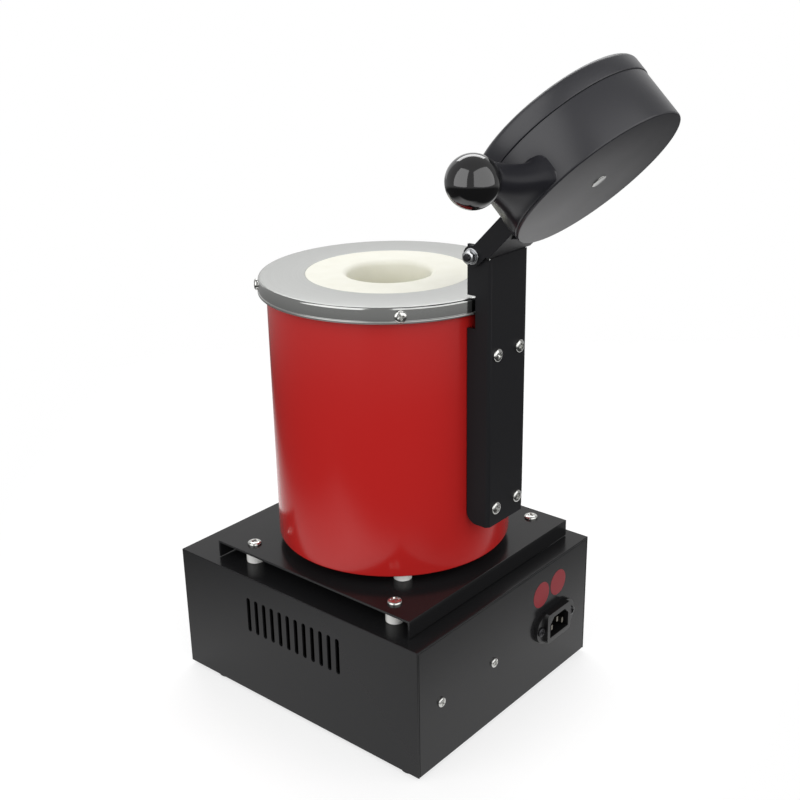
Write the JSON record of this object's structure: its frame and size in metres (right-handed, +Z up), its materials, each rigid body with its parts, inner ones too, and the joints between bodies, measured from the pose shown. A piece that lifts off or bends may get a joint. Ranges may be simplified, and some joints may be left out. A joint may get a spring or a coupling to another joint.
{
  "type": "electric crucible melting furnace",
  "caption": "Bench-top electric crucible furnace: control base, raised plate, round body with a white crucible mouth, and a hinged insulated lid with a ball knob.",
  "frame": {"origin": "on the floor, under the middle of the control base", "axes": "+Z up; +Y towards the side with the hinge column and the mains inlet; +X towards the side of the lid's ball knob"},
  "size_m": [0.222, 0.3353, 0.4664],
  "materials": {
    "base_paint": "satin black powder coat",
    "plate_paint": "satin black powder coat",
    "red_paint": "semi-gloss red paint",
    "hinge_paint": "satin black powder coat",
    "lid_paint": "satin dark grey powder coat",
    "polished_steel": "fine brushed stainless",
    "bright_screw": "bright nickel plate",
    "steel_part": "plain steel",
    "white_ceramic": "smooth white ceramic",
    "refractory": "cast white refractory",
    "fibre": "pressed ceramic fibre",
    "coil_wire": "oxidised resistance wire",
    "black_plastic": "fine matt black",
    "knob_plastic": "polished black",
    "rocker_plastic": "gloss black",
    "window_plastic": "dark gloss",
    "key_rubber": "matt grey",
    "foot_rubber": "matt black",
    "brass_pin": "bright nickelled brass",
    "red_vinyl": "plain red",
    "sink_aluminium": "mill finish",
    "relay_plastic": "moulded black",
    "terminal_plastic": "moulded cream"
  },
  "bodies": {
    "furnace": {"base_tray": "base_paint", "base_cover": "base_paint", "rubber_feet": "foot_rubber", "foot_screws": "bright_screw", "foot_nuts": "steel_part", "power_inlet": "black_plastic", "inlet_pins": "brass_pin", "inlet_screws": "bright_screw", "inlet_nuts": "steel_part", "round_stickers": "red_vinyl", "heat_sink": "sink_aluminium", "solid_state_relay": "relay_plastic", "rear_panel_screws": "bright_screw", "terminal_block": "terminal_plastic", "controller_housing": "black_plastic", "controller_window": "window_plastic", "controller_clamp": "black_plastic", "switch_housing": "black_plastic", "raised_plate": "plate_paint", "plate_spacers": "white_ceramic", "plate_screws": "bright_screw", "plate_nuts": "steel_part", "body_spacers": "white_ceramic", "body_screws": "steel_part", "body_nuts": "steel_part", "furnace_shell": "red_paint", "top_ring": "polished_steel", "ring_spacers": "steel_part", "ring_screws": "bright_screw", "refractory_collar": "refractory", "fibre_insulation": "fibre", "heating_muffle": "refractory", "heating_coil": "coil_wire", "thermocouple": "steel_part", "hinge_column": "hinge_paint", "column_spacers": "steel_part", "column_screws": "bright_screw", "column_nuts": "steel_part", "hinge_bolt": "steel_part", "hinge_nut": "steel_part", "hinge_washers": "steel_part"},
    "lid": {"lid_arm": "hinge_paint", "lid_shell": "lid_paint", "lid_rim": "lid_paint", "lid_insulation": "fibre", "lid_screw": "bright_screw", "lid_nut": "steel_part", "knob_stud": "steel_part", "ball_knob": "knob_plastic"},
    "rocker": {"switch_rocker": "rocker_plastic"},
    "key_set": {"key_set": "key_rubber"},
    "key_shift": {"key_shift": "key_rubber"},
    "key_down": {"key_down": "key_rubber"},
    "key_up": {"key_up": "key_rubber"}
  },
  "joints": [
    {"name": "lid_hinge", "type": "hinge", "parent": "furnace", "child": "lid", "pos_m": [0, 0.098, 0.343], "axis": [1, 0, 0], "range_deg": [0, 134.2]},
    {"name": "switch_pivot", "type": "hinge", "parent": "furnace", "child": "rocker", "pos_m": [0.045, -0.112, 0.055], "axis": [0, 0, -1], "range_deg": [0, 18]},
    {"name": "key_set_press", "type": "slide", "parent": "furnace", "child": "key_set", "axis": [0, 1, 0], "range_m": [0, 0.0005], "stiffness_N_per_m": 400},
    {"name": "key_shift_press", "type": "slide", "parent": "furnace", "child": "key_shift", "axis": [0, 1, 0], "range_m": [0, 0.0005], "stiffness_N_per_m": 400},
    {"name": "key_down_press", "type": "slide", "parent": "furnace", "child": "key_down", "axis": [0, 1, 0], "range_m": [0, 0.0005], "stiffness_N_per_m": 400},
    {"name": "key_up_press", "type": "slide", "parent": "furnace", "child": "key_up", "axis": [0, 1, 0], "range_m": [0, 0.0005], "stiffness_N_per_m": 400}
  ]
}
